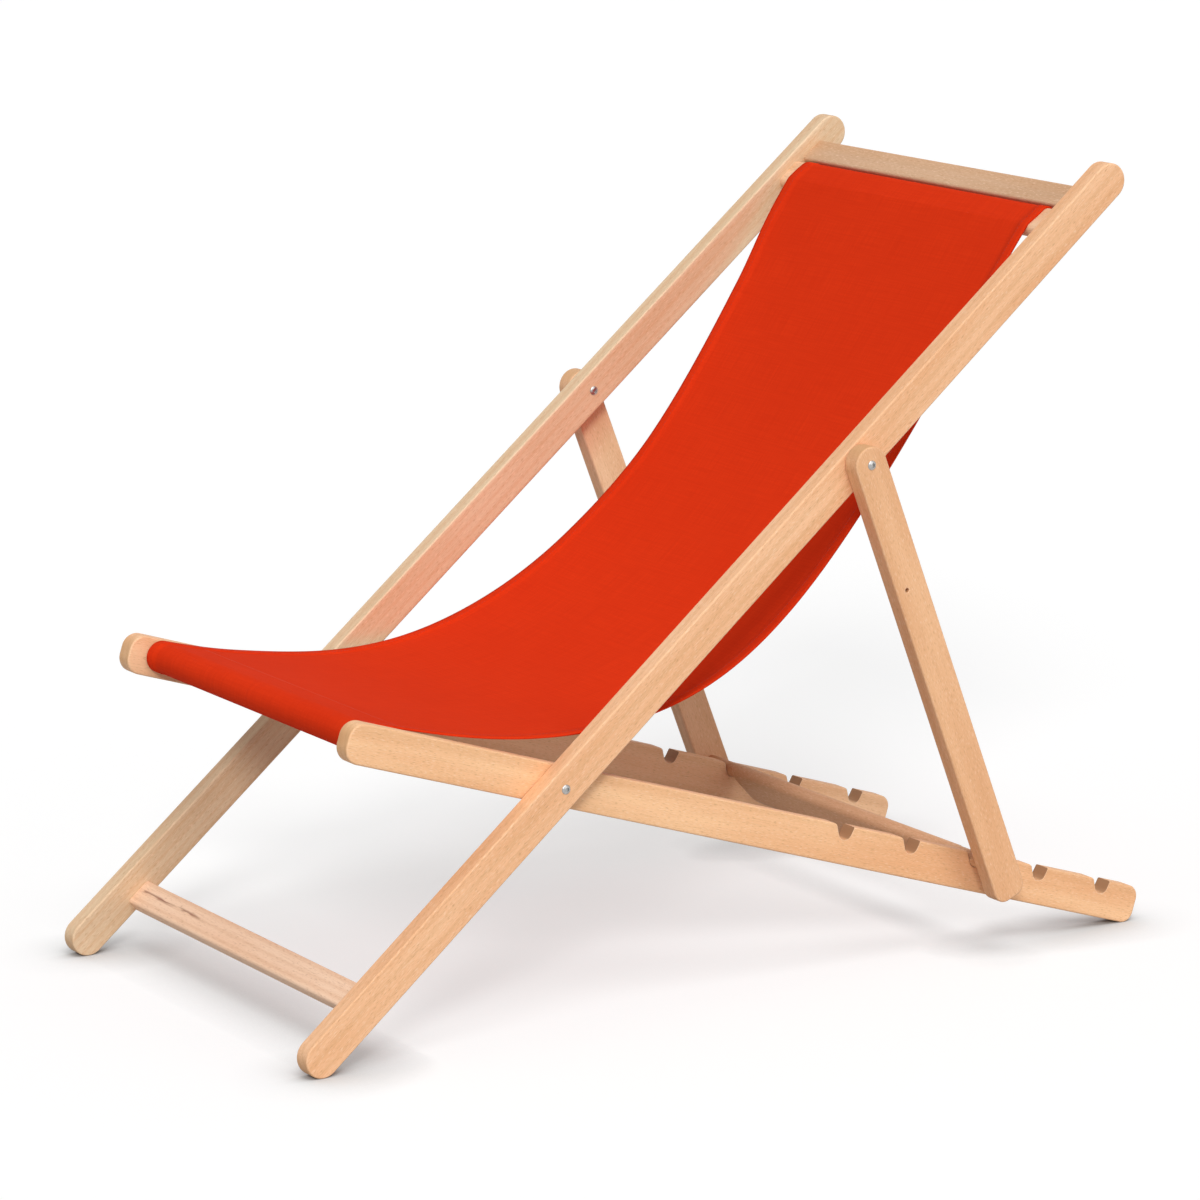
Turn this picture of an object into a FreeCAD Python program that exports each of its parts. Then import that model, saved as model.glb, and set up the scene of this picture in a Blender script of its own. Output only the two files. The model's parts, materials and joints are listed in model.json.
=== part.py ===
import FreeCAD, Part
import math

# Folding deck chair in bare beech with one hanging cloth.
# Sizes are in mm and angles in degrees. X runs across the chair, +X on the sitter's left.
# Y runs rearward and Z up. The origin is on the floor under the middle of the chair.

# Rails
RAIL_WIDTH = 40.0
SEAT_RAIL_WIDTH = 43.0
RAIL_THICKNESS = 21.5
RAIL_ARRIS = 2.0
FRAME_GAP = 1.0
CLEAR_WIDTH = 500.0

# Back frame, measured up the long rail from the centre of its round foot
BACK_SLOPE = 40.0
BACK_REACH = 1290.0
SEAT_PIVOT_AT = 379.0
PROP_PIVOT_AT = 859.2

# Slats of the back frame: place up the rail, and depth of the front face above the rail's middle
SLAT_WIDTH = 32.0
SLAT_THICKNESS = 17.0
SLAT_ARRIS = 3.0
HEAD_SLAT_AT = 1241.0
HEAD_SLAT_FRONT = 5.0
GUIDE_SLAT_WIDTH = 38.0
GUIDE_SLAT_FRONT = 9.0
GUIDE_SLAT_ARRIS = 8.0
CLOTH_SLIT = 5.0
FOOT_SLAT_AT = 60.0
FOOT_SLAT_FRONT = -4.5
TENON_THICKNESS = 9.0
TENON_SHOULDER = 4.0
TENON_LENGTH = 14.0
TENON_PLAY = 0.1
MORTISE_SPARE = 0.5

# Seat frame, measured along the seat rail from the seat pivot
SEAT_FRONT_REACH = 258.5
SEAT_REAR_REACH = 816.3
SEAT_FRONT_CORNER = 17.0
SEAT_REAR_CORNER = 14.0
FRONT_RAIL_DIAMETER = 28.0
FRONT_RAIL_SETBACK = 37.5
FRONT_RAIL_RAISED = 5.0
FRONT_TENON_DIAMETER = 18.0

# Notches in the seat rails
NOTCH_COUNT = 5
NOTCH_IN_USE = 2
NOTCH_FIRST_AT = 387.0
NOTCH_PITCH = 93.4
NOTCH_DEPTH = 16.0
NOTCH_PLAY = 0.35
NOTCH_REAR_LEAN = 12.0
NOTCH_FRONT_LEAN = 30.0
NOTCH_FRONT_LIP = 5.0

# Prop frame, measured down the strut from the prop pivot
STRUT_TAIL = 40.0
STRUT_FOOT_CORNER = 14.0
STRUT_BEHIND_NECK = 3.0
NECK_DIAMETER = 17.0
CROSSBAR_THICKNESS = 18.0
CROSSBAR_DEPTH = 41.0
CROSSBAR_SIDE_CLEARANCE = 9.0
CROSSBAR_SHOULDER = 30.0
CROSSBAR_BELLY_ROUND = 34.0
CROSSBAR_ARRIS = 8.0
CROSSBAR_TENON_DIAMETER = 13.0
SPARE_HOLE_DOWN = 149.0
SPARE_HOLE_FORWARD = 5.5
SPARE_HOLE_DIAMETER = 5.0

# Pivot pins and washers
PIN_DIAMETER = 8.0
PIN_PLAY = 0.15
HEAD_DIAMETER = 10.5
HEAD_FLAT = 6.5
HEAD_HEIGHT = 2.2
HEAD_STAND_OFF = 0.05
WASHER_DIAMETER = 20.0
WASHER_PLAY = 0.1

# How far a cutting tool runs past the face it opens
CUT_PAST = 1.0

# Cloth
CLOTH_THICKNESS = 1.2
CLOTH_SIDE_CLEARANCE = 2.5
CLOTH_BAR_GAP = 0.3
ROD_DIAMETER = 12.0
ROD_OVERHANG = 12.0
CLOTH_TOP_ANGLE = 56.3
CLOTH_TOP_RUN = 128.0
CLOTH_FRONT_ANGLE = 15.6
CLOTH_FRONT_RUN = 92.0
CLOTH_PULL_RATIO = 2.0

# Places across the chair, on the +X side
half_rail = RAIL_WIDTH / 2.0
half_seat_rail = SEAT_RAIL_WIDTH / 2.0
back_inner = CLEAR_WIDTH / 2.0
back_outer = back_inner + RAIL_THICKNESS
seat_outer = back_inner - FRAME_GAP
seat_inner = seat_outer - RAIL_THICKNESS
strut_inner = back_outer + FRAME_GAP
strut_outer = strut_inner + RAIL_THICKNESS
cloth_width = 2.0 * (seat_inner - CLOTH_SIDE_CLEARANCE)

# Place of the front rail ahead of the seat pivot
front_rail_ahead = SEAT_FRONT_REACH - FRONT_RAIL_SETBACK


class SideFrame:
    """A place and a direction in the side view: s runs along, n square to it."""

    def __init__(self, y, z, angle):
        self.y = y
        self.z = z
        self.angle = math.radians(angle)

    def yz(self, s, n):
        c = math.cos(self.angle)
        d = math.sin(self.angle)
        return self.y + s * c - n * d, self.z + s * d + n * c

    def at(self, x, s, n):
        y, z = self.yz(s, n)
        return FreeCAD.Vector(x, y, z)


def unit(v):
    return FreeCAD.Vector(v).multiply(1.0 / v.Length)


def rounded_wire(points, radii):
    """Closed outline through the points, each corner turned with its own radius."""
    count = len(points)
    starts = []
    ends = []
    arcs = []
    for i in range(count):
        corner = points[i]
        to_last = unit(points[i - 1] - corner)
        to_next = unit(points[(i + 1) % count] - corner)
        half = math.acos(max(-1.0, min(1.0, to_last.dot(to_next)))) / 2.0
        reach = radii[i] / math.tan(half)
        start = corner + to_last * reach
        end = corner + to_next * reach
        starts.append(start)
        ends.append(end)
        if radii[i] > 0.0:
            inward = unit(to_last + to_next)
            middle = corner + inward * (radii[i] / math.sin(half) - radii[i])
            arcs.append(Part.Arc(start, middle, end).toShape())
        else:
            arcs.append(None)
    edges = []
    for i in range(count):
        if arcs[i] is not None:
            edges.append(arcs[i])
        after = (i + 1) % count
        if (starts[after] - ends[i]).Length > 1e-6:
            edges.append(Part.makeLine(ends[i], starts[after]))
    return Part.Wire(Part.__sortEdges__(edges))


def side_plate(frame, corners, x_low, x_high):
    """Plate between two places across the chair, its outline drawn in the side view."""
    points = [frame.at(x_low, s, n) for s, n, r in corners]
    face = Part.Face(rounded_wire(points, [r for s, n, r in corners]))
    return face.extrude(FreeCAD.Vector(x_high - x_low, 0, 0))


def rims_at(shape, origin, axis, depths):
    """Edges that lie square to the axis at one of the given depths from the origin."""
    found = []
    for edge in shape.Edges:
        middle = edge.valueAt((edge.FirstParameter + edge.LastParameter) / 2.0)
        reach = [(p - origin).dot(axis) for p in [v.Point for v in edge.Vertexes] + [middle]]
        if max(reach) - min(reach) < 1e-5 and min(abs(reach[0] - d) for d in depths) < 1e-5:
            found.append(edge)
    return found


def soften(plate, origin, axis, thickness, radius):
    """Plane off the arrises of a plate's two faces in three flats that follow the radius."""
    first = radius * (2.0 - math.sqrt(2.0))
    second = radius * (math.tan(math.pi / 8.0) - math.tan(math.pi / 16.0))
    planed = plate.makeChamfer(first, rims_at(plate, origin, axis, (0.0, thickness)))
    depths = (0.0, first, thickness - first, thickness)
    return planed.makeChamfer(second, rims_at(planed, origin, axis, depths))


def rail(frame, half, s_low, s_high, corner_low, corner_high, x_low, x_high):
    corners = [
        (s_low, -half, corner_low),
        (s_high, -half, corner_high),
        (s_high, half, corner_high),
        (s_low, half, corner_low),
    ]
    plate = side_plate(frame, corners, x_low, x_high)
    return soften(plate, FreeCAD.Vector(x_low, 0, 0), FreeCAD.Vector(1, 0, 0), x_high - x_low, RAIL_ARRIS)


def pin(frame, s, n, diameter, x_low, x_high):
    return Part.makeCylinder(diameter / 2.0, x_high - x_low, frame.at(x_low, s, n), FreeCAD.Vector(1, 0, 0))


def mirrored(shape):
    return shape.mirror(FreeCAD.Vector(0, 0, 0), FreeCAD.Vector(1, 0, 0))


def box_corners(s_low, s_high, n_low, n_high, radius):
    return [(s_low, n_low, radius), (s_high, n_low, radius), (s_high, n_high, radius), (s_low, n_high, radius)]


# Side-view places
foot_y = 0.0
back_at_origin = SideFrame(foot_y, half_rail, BACK_SLOPE)
pivot_y, pivot_z = back_at_origin.yz(SEAT_PIVOT_AT, 0.0)
rear_arm = SEAT_REAR_REACH - SEAT_REAR_CORNER
rear_drop = half_seat_rail - SEAT_REAR_CORNER
# The seat rail slopes until its rear lower corner rests on the floor
seat_slope = math.degrees(
    math.asin((pivot_z - SEAT_REAR_CORNER) / math.hypot(rear_arm, rear_drop)) - math.atan2(rear_drop, rear_arm)
)
seat_at_origin = SideFrame(pivot_y, pivot_z, -seat_slope)
rear_y = seat_at_origin.yz(rear_arm, rear_drop)[0] + SEAT_REAR_CORNER
# Move everything so that the middle of the whole length is at Y = 0
shift = -(rear_y + foot_y - half_rail) / 2.0
back = SideFrame(foot_y + shift, half_rail, BACK_SLOPE)
seat = SideFrame(pivot_y + shift, pivot_z, -seat_slope)

# The crossbar's neck rests in the chosen notch and sets the strut's angle
neck_radius = NECK_DIAMETER / 2.0
notch_radius = neck_radius + NOTCH_PLAY
notch_floor = half_seat_rail - NOTCH_DEPTH
neck_s = NOTCH_FIRST_AT + NOTCH_IN_USE * NOTCH_PITCH
neck_y, neck_z = seat.yz(neck_s, notch_floor + notch_radius)
prop_y, prop_z = back.yz(PROP_PIVOT_AT, 0.0)
neck_down = math.hypot(neck_y - prop_y, neck_z - prop_z)
prop_angle = math.degrees(math.atan2(neck_z - prop_z, neck_y - prop_y))
prop = SideFrame(prop_y, prop_z, prop_angle)
# The strut's own middle runs from the same pivot and passes a little behind the neck
strut = SideFrame(prop_y, prop_z, prop_angle + math.degrees(math.asin(STRUT_BEHIND_NECK / neck_down)))

hole_diameter = PIN_DIAMETER + 2.0 * PIN_PLAY


def tenon_corners(s_low, s_high, n_front, play):
    """Square tenon in the middle of a slat's section, or its mortise with play added."""
    n_mid = n_front - SLAT_THICKNESS / 2.0
    half = TENON_THICKNESS / 2.0 + play
    low = s_low + TENON_SHOULDER - play
    high = s_high - TENON_SHOULDER + play
    return box_corners(low, high, n_mid - half, n_mid + half, 0.0)


def slat(s_low, s_high, n_front, arris):
    section = box_corners(s_low, s_high, n_front - SLAT_THICKNESS, n_front, arris)
    body = side_plate(back, section, -back_inner, back_inner)
    reach = back_inner + TENON_LENGTH
    tenon = side_plate(back, tenon_corners(s_low, s_high, n_front, 0.0), -reach, reach)
    return body.fuse(tenon).removeSplitter()


def mortise(s_low, s_high, n_front):
    depth = back_inner + TENON_LENGTH + MORTISE_SPARE
    return side_plate(back, tenon_corners(s_low, s_high, n_front, TENON_PLAY), back_inner - CUT_PAST, depth)


guide_top = HEAD_SLAT_AT - CLOTH_SLIT
guide_low = guide_top - GUIDE_SLAT_WIDTH
slat_places = {
    "head_slat": (HEAD_SLAT_AT, HEAD_SLAT_AT + SLAT_WIDTH, HEAD_SLAT_FRONT, SLAT_ARRIS),
    "guide_slat": (guide_low, guide_top, GUIDE_SLAT_FRONT, GUIDE_SLAT_ARRIS),
    "foot_slat": (FOOT_SLAT_AT, FOOT_SLAT_AT + SLAT_WIDTH, FOOT_SLAT_FRONT, SLAT_ARRIS),
}


def make_back_rail():
    s_high = BACK_REACH + half_rail
    body = rail(back, half_rail, -half_rail, s_high, half_rail, half_rail, back_inner, back_outer)
    cuts = [mortise(low, high, front) for low, high, front, arris in slat_places.values()]
    for s in (SEAT_PIVOT_AT, PROP_PIVOT_AT):
        cuts.append(pin(back, s, 0.0, hole_diameter, back_inner - CUT_PAST, back_outer + CUT_PAST))
    return body.cut(cuts)


def notch_cutter(s_mid):
    """Hook-shaped notch: steep rear wall, round floor and a long ramp to the front."""
    n_mid = notch_floor + notch_radius
    rear = math.radians(NOTCH_REAR_LEAN)
    front = math.radians(NOTCH_FRONT_LEAN)
    rear_top = s_mid + notch_radius / math.cos(rear) + (half_seat_rail - n_mid) * math.tan(rear)
    front_top = s_mid - notch_radius / math.cos(front) - (half_seat_rail - n_mid) * math.tan(front)
    depth = (rear_top - front_top) / (math.tan(rear) + math.tan(front))
    apex = (rear_top - depth * math.tan(rear), half_seat_rail - depth, notch_radius)
    above = half_seat_rail + SEAT_RAIL_WIDTH
    corners = [
        (front_top - 2.0 * NOTCH_FRONT_LIP, half_seat_rail, 0.0),
        (front_top, half_seat_rail, NOTCH_FRONT_LIP),
        apex,
        (rear_top + (above - half_seat_rail) * math.tan(rear), above, 0.0),
        (front_top - 2.0 * NOTCH_FRONT_LIP, above, 0.0),
    ]
    return side_plate(seat, corners, seat_inner - CUT_PAST, seat_outer + CUT_PAST)


def make_seat_rail():
    reach = (-SEAT_FRONT_REACH, SEAT_REAR_REACH)
    body = rail(seat, half_seat_rail, *reach, SEAT_FRONT_CORNER, SEAT_REAR_CORNER, seat_inner, seat_outer)
    cuts = [notch_cutter(NOTCH_FIRST_AT + i * NOTCH_PITCH) for i in range(NOTCH_COUNT)]
    cuts.append(pin(seat, 0.0, 0.0, hole_diameter, seat_inner - CUT_PAST, seat_outer + CUT_PAST))
    socket_depth = seat_inner + TENON_LENGTH + MORTISE_SPARE
    socket = FRONT_TENON_DIAMETER + 2.0 * TENON_PLAY
    cuts.append(pin(seat, -front_rail_ahead, FRONT_RAIL_RAISED, socket, seat_inner - CUT_PAST, socket_depth))
    return body.cut(cuts)


def make_front_rail():
    s = -front_rail_ahead
    reach = seat_inner + TENON_LENGTH
    bar = pin(seat, s, FRONT_RAIL_RAISED, FRONT_RAIL_DIAMETER, -seat_inner, seat_inner)
    tenon = pin(seat, s, FRONT_RAIL_RAISED, FRONT_TENON_DIAMETER, -reach, reach)
    return bar.fuse(tenon).removeSplitter()


def make_strut():
    reach = (-half_rail, neck_down + STRUT_TAIL)
    body = rail(strut, half_rail, *reach, half_rail, STRUT_FOOT_CORNER, strut_inner, strut_outer)
    socket_depth = strut_inner + TENON_LENGTH + MORTISE_SPARE
    socket = CROSSBAR_TENON_DIAMETER + 2.0 * TENON_PLAY
    through = (strut_inner - CUT_PAST, strut_outer + CUT_PAST)
    cuts = [
        pin(prop, 0.0, 0.0, hole_diameter, *through),
        pin(prop, neck_down, 0.0, socket, strut_inner - CUT_PAST, socket_depth),
        pin(prop, SPARE_HOLE_DOWN, -SPARE_HOLE_FORWARD, SPARE_HOLE_DIAMETER, *through),
    ]
    return body.cut(cuts)


def make_crossbar():
    """Flat belly between the seat rails, drawn in to round necks that sit in the notches."""
    shoulder_x = seat_inner - CROSSBAR_SIDE_CLEARANCE
    belly_x = shoulder_x - CROSSBAR_SHOULDER
    top = neck_down - neck_radius
    low = neck_down + neck_radius
    belly = top + CROSSBAR_DEPTH
    half = CROSSBAR_THICKNESS / 2.0
    outline = [
        (-shoulder_x, top, 0.0),
        (shoulder_x, top, 0.0),
        (shoulder_x, low, 0.0),
        (belly_x, belly, CROSSBAR_BELLY_ROUND),
        (-belly_x, belly, CROSSBAR_BELLY_ROUND),
        (-shoulder_x, low, 0.0),
    ]
    points = [prop.at(x, s, -half) for x, s, r in outline]
    across = prop.at(0.0, 0.0, CROSSBAR_THICKNESS) - prop.at(0.0, 0.0, 0.0)
    board = Part.Face(rounded_wire(points, [r for x, s, r in outline])).extrude(across)
    rims = rims_at(board, prop.at(0.0, 0.0, -half), unit(across), (0.0, CROSSBAR_THICKNESS))
    board = board.makeFillet(CROSSBAR_ARRIS, rims)
    neck = pin(prop, neck_down, 0.0, NECK_DIAMETER, -strut_inner, strut_inner)
    reach = strut_inner + TENON_LENGTH
    tenon = pin(prop, neck_down, 0.0, CROSSBAR_TENON_DIAMETER, -reach, reach)
    return board.fuse([neck, tenon]).removeSplitter()


def pivot_pin(frame, s, x_low, x_high):
    """Turned pin with a low coned head on the outer face of each of two rails."""
    seats = (x_low - HEAD_STAND_OFF, x_high + HEAD_STAND_OFF)
    crowns = (seats[0] - HEAD_HEIGHT, seats[1] + HEAD_HEIGHT)
    half_profile = [
        (crowns[0], 0.0),
        (crowns[0], HEAD_FLAT / 2.0),
        (seats[0], HEAD_DIAMETER / 2.0),
        (seats[0], PIN_DIAMETER / 2.0),
        (seats[1], PIN_DIAMETER / 2.0),
        (seats[1], HEAD_DIAMETER / 2.0),
        (crowns[1], HEAD_FLAT / 2.0),
        (crowns[1], 0.0),
    ]
    points = [frame.at(x, s, n) for x, n in half_profile]
    face = Part.Face(Part.makePolygon(points + points[:1]))
    return face.revolve(points[0], FreeCAD.Vector(1, 0, 0), 360)


def pivot_washer(frame, s, x_gap):
    disc = pin(frame, s, 0.0, WASHER_DIAMETER, x_gap, x_gap + FRAME_GAP - WASHER_PLAY)
    return disc.cut(pin(frame, s, 0.0, hole_diameter, x_gap - CUT_PAST, x_gap + FRAME_GAP))


def arc_centre(start, along, end):
    """Centre of the arc that leaves start in the given direction and passes through end."""
    normal = FreeCAD.Vector(0, along.z, -along.y)
    chord = end - start
    return start + normal * (chord.dot(chord) / (2.0 * chord.dot(normal)))


def cloth_line(start, top_way, end, front_way):
    """Hanging line: a straight run off the slat, two arcs, and a straight run on to the front rail.

    Gives the five corners, the direction at each, and the centres of the two arcs.
    """
    first = start + top_way * CLOTH_TOP_RUN
    last = end - front_way * CLOTH_FRONT_RUN
    span = last - first
    pull = top_way + front_way * CLOTH_PULL_RATIO
    a = pull.dot(pull) - (1.0 + CLOTH_PULL_RATIO) ** 2
    b = -2.0 * span.dot(pull)
    c = span.dot(span)
    reach = (-b - math.sqrt(b * b - 4.0 * a * c)) / (2.0 * a)
    above = first + top_way * reach
    below = last - front_way * (reach * CLOTH_PULL_RATIO)
    meet = above + (below - above) * (1.0 / (1.0 + CLOTH_PULL_RATIO))
    meet_way = unit(below - above)
    corners = [start, first, meet, last, end]
    ways = [top_way, top_way, meet_way, front_way, front_way]
    centres = [arc_centre(first, top_way, meet), arc_centre(meet, meet_way, last)]
    return corners, ways, centres


def arc_about(centre, start, end):
    """The shorter arc round a centre between two points at the same distance from it."""
    middle = unit((start - centre) + (end - centre)) * (start - centre).Length
    return Part.Arc(start, centre + middle, end).toShape()


def turned(frame, x, s, n, radius, degrees):
    """Point on a circle in the side view, its angle counted from the frame's n direction toward -s."""
    a = math.radians(degrees)
    return frame.at(x, s - radius * math.sin(a), n + radius * math.cos(a))


rod_n = HEAD_SLAT_FRONT - SLAT_THICKNESS - CLOTH_THICKNESS - ROD_DIAMETER / 2.0
rod_s = HEAD_SLAT_AT - CLOTH_SLIT / 2.0


def make_sling():
    """Cloth from a pocket behind the slats, through the slit, down to a loop round the front rail."""
    x = -cloth_width / 2.0
    half = CLOTH_THICKNESS / 2.0
    turn = CLOTH_TOP_ANGLE - BACK_SLOPE
    hinge_n = GUIDE_SLAT_FRONT - GUIDE_SLAT_ARRIS
    upper_s = guide_top - GUIDE_SLAT_ARRIS
    lower_s = guide_low + GUIDE_SLAT_ARRIS
    bar_radius = FRONT_RAIL_DIAMETER / 2.0 + CLOTH_BAR_GAP
    bar = seat.at(x, -front_rail_ahead, FRONT_RAIL_RAISED)
    lift = math.radians(CLOTH_FRONT_ANGLE)
    end = bar + FreeCAD.Vector(0, math.sin(lift), math.cos(lift)) * (bar_radius + half)
    start = turned(back, x, lower_s, hinge_n, GUIDE_SLAT_ARRIS + half, turn)
    slope = math.radians(CLOTH_TOP_ANGLE)
    top_way = FreeCAD.Vector(0, -math.cos(slope), -math.sin(slope))
    front_way = FreeCAD.Vector(0, -math.cos(lift), math.sin(lift))
    corners, ways, centres = cloth_line(start, top_way, end, front_way)
    sides = []
    for offset in (0.0, CLOTH_THICKNESS):
        radius = GUIDE_SLAT_ARRIS + offset
        tail = back.at(x, guide_top + offset, rod_n + ROD_DIAMETER / 2.0 + half)
        bend = back.at(x, guide_top + offset, hinge_n)
        crest = turned(back, x, upper_s, hinge_n, radius, 0.0)
        brow = turned(back, x, lower_s, hinge_n, radius, 0.0)
        hang = [p + FreeCAD.Vector(0, way.z, -way.y) * (offset - half) for p, way in zip(corners, ways)]
        edges = [
            Part.makeLine(tail, bend),
            arc_about(back.at(x, upper_s, hinge_n), bend, crest),
            Part.makeLine(crest, brow),
            arc_about(back.at(x, lower_s, hinge_n), brow, hang[0]),
            Part.makeLine(hang[0], hang[1]),
            arc_about(centres[0], hang[1], hang[2]),
            arc_about(centres[1], hang[2], hang[3]),
            Part.makeLine(hang[3], hang[4]),
        ]
        sides.append((edges, tail, hang[4]))
    caps = [Part.makeLine(sides[0][1], sides[1][1]), Part.makeLine(sides[0][2], sides[1][2])]
    outline = Part.Wire(Part.__sortEdges__(sides[0][0] + sides[1][0] + caps))
    across = FreeCAD.Vector(cloth_width, 0, 0)
    strip = Part.Face(outline).extrude(across)
    axis = FreeCAD.Vector(1, 0, 0)
    rod = back.at(x, rod_s, rod_n)
    rod_radius = ROD_DIAMETER / 2.0
    pocket = Part.makeCylinder(rod_radius + CLOTH_THICKNESS, cloth_width, rod, axis)
    loop = Part.makeCylinder(bar_radius + CLOTH_THICKNESS, cloth_width, bar, axis)
    cloth = strip.fuse([pocket, loop])
    cloth = cloth.cut([
        Part.makeCylinder(rod_radius, cloth_width, rod, axis),
        Part.makeCylinder(bar_radius, cloth_width, bar, axis),
    ])
    hanging = sum(edge.Length for edge in sides[0][0][4:])
    print("cloth hangs over", round(hanging, 1), "mm between the guide slat and the front rail")
    return cloth.removeSplitter()


def rod():
    reach = cloth_width / 2.0 + ROD_OVERHANG
    return pin(back, rod_s, rod_n, ROD_DIAMETER, -reach, reach)


shapes = {}
for name, (low, high, front, arris) in slat_places.items():
    shapes[name] = slat(low, high, front, arris)
for name, maker in (("back_rail", make_back_rail), ("seat_rail", make_seat_rail), ("prop_strut", make_strut)):
    left = maker()
    shapes[name + "_left"] = left
    shapes[name + "_right"] = mirrored(left)
shapes["front_rail"] = make_front_rail()
shapes["prop_crossbar"] = make_crossbar()
shapes["cloth_rod"] = rod()
shapes["sling"] = make_sling()

pivot_pairs = {
    "pivot_pins": [
        pivot_pin(back, PROP_PIVOT_AT, back_inner, strut_outer),
        pivot_pin(back, SEAT_PIVOT_AT, seat_inner, back_outer),
    ],
    "pivot_washers": [
        pivot_washer(back, PROP_PIVOT_AT, back_outer),
        pivot_washer(back, SEAT_PIVOT_AT, seat_outer),
    ],
}
for name, pair in pivot_pairs.items():
    shapes[name] = Part.makeCompound(pair + [mirrored(piece) for piece in pair])

for name, shape in shapes.items():
    shape.exportStep("parts/" + name + ".step")

box = Part.makeCompound(list(shapes.values())).optimalBoundingBox(False, False)
print("size", [round(v, 2) for v in (box.XLength, box.YLength, box.ZLength)])
print("low", [round(v, 3) for v in (box.XMin, box.YMin, box.ZMin)])
print("seat slope", round(seat_slope, 3), "strut", round(neck_down, 2), "shift", round(shift, 3))
for name, frame in (("seat pivot", seat), ("prop pivot", prop)):
    print(name, [round(v, 4) for v in frame.yz(0.0, 0.0)])
print("spare hole", [round(v, 4) for v in prop.yz(SPARE_HOLE_DOWN, -SPARE_HOLE_FORWARD)])
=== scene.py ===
import bisect
import json
import math

import bmesh
import bpy
from mathutils import Matrix, Vector


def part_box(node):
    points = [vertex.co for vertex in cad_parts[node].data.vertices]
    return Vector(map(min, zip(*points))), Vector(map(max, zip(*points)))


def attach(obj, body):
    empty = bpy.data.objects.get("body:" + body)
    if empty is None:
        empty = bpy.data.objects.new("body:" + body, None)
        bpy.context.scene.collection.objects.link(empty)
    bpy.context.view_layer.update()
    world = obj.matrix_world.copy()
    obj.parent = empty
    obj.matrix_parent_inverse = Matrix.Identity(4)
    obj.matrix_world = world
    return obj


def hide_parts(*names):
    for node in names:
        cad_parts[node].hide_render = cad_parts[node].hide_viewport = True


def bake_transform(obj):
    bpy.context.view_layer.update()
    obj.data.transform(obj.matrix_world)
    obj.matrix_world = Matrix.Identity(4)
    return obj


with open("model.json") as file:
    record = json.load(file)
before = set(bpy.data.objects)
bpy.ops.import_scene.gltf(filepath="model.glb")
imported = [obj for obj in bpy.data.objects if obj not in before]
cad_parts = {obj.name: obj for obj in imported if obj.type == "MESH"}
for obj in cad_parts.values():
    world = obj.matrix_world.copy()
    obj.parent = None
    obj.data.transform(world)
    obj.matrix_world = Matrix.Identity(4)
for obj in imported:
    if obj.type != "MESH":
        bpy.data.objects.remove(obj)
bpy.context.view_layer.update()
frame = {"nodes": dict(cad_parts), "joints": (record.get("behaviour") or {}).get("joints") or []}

# Folding deck chair in bare beech with one red canvas. Metres, in the frame of the CAD part:
# X across the chair, Y rearward, Z up. Sizes below are written in millimetres times MM.
MM = 0.001

# Timber, as in the part
RAIL_WIDTH = 40 * MM
SEAT_SLOPE = math.radians(17.6)
GUIDE_SLAT_WIDTH = 38 * MM
GUIDE_SLAT_THICKNESS = 17 * MM
GUIDE_SLAT_ARRIS = 8 * MM
# The run of notches along the seat rail, from the seat pivot
NOTCHES_FROM = 370 * MM
NOTCHES_TO = 785 * MM

# Figure of the beech: for each kind its size across and along a board, and how finely it breaks up.
# Fibre and flecks are drawn about twice as coarse as real ones, so that they show.
GRAIN = {
    "tone": (26 * MM, 300 * MM, 3.0),
    "fibre": (0.9 * MM, 38 * MM, 4.0),
    "fleck": (0.9 * MM, 6 * MM, 1.0),
}
RING_WIDTH = 9 * MM
RING_LENGTH = 260 * MM
# Width of the rounded arrises, which are painted paler: partly rubbing wear, partly a painted highlight
ARRIS_ROUNDING_AND_HIGHLIGHT = 1.6 * MM
# Place in the grain that the first board is cut from, and the step from each board to the next, in metres
FIRST_CUT = (0.37, 0.0, 0.19)
NEXT_CUT = (0.113, 0.71, -0.087)
# The line of streaks on the foot slat: its height as a share of the slat's, its half width, where it ends,
# the length over which it fades there, and the figure that breaks it up
STREAK_HEIGHT = 0.76
STREAK_WIDTH = 1.8 * MM
STREAK_END = -90 * MM
STREAK_FADE = 40 * MM
STREAK_GRAIN = (4 * MM, 26 * MM, 1.0)

# Canvas
CANVAS_THICKNESS = 1.1 * MM
HEM_THICKNESS = 2.0 * MM
HEM_WIDTH = 14 * MM
CANVAS_CLEARANCE = 0.15 * MM
ROD_POCKET_SLACK = 0.4 * MM
# Half the angle that the rod pocket leaves open at its mouth
ROD_POCKET_MOUTH = math.radians(33)
# Slopes at which the canvas leaves the guide slat and meets the front bar, and how far each one pulls on
# the curve of the hang
TOP_ANGLE = math.radians(56.3)
FRONT_ANGLE = math.radians(15.6)
TOP_PULL = 502 * MM
FRONT_PULL = 434 * MM
FRONT_SEAM_BACK = 36 * MM
SEAM_FLAP = 12 * MM
FRONT_POCKET_SLACK = 1.6 * MM
BELLY = 4 * MM
# Slight unevenness of the stretched canvas: its height, and two waves that cross, each as the angle that it
# turns through over a metre across and over the whole hang
RIPPLE = 0.7 * MM
RIPPLE_WAVES = [(26, 9), (7, 11)]
# Reach of the canvas to its far and near edges, at places down the hang as shares of its length: drawn in
# at the slit, in again where it is stretched, widest at the seat, and inside the seat rails at the bar
EDGES = [
    (-0.080, 220 * MM, 205 * MM),
    (-0.050, 218 * MM, 206 * MM),
    (-0.036, 225 * MM, 222 * MM),
    (-0.018, 232 * MM, 223 * MM),
    (0.00, 234 * MM, 220 * MM),
    (0.05, 234 * MM, 217 * MM),
    (0.13, 224 * MM, 216 * MM),
    (0.33, 214 * MM, 219 * MM),
    (0.48, 228 * MM, 228 * MM),
    (0.63, 240 * MM, 237 * MM),
    (0.79, 234 * MM, 237 * MM),
    (0.88, 234 * MM, 234 * MM),
    (0.95, 225 * MM, 225 * MM),
    (1.10, 225 * MM, 225 * MM),
]
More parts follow.
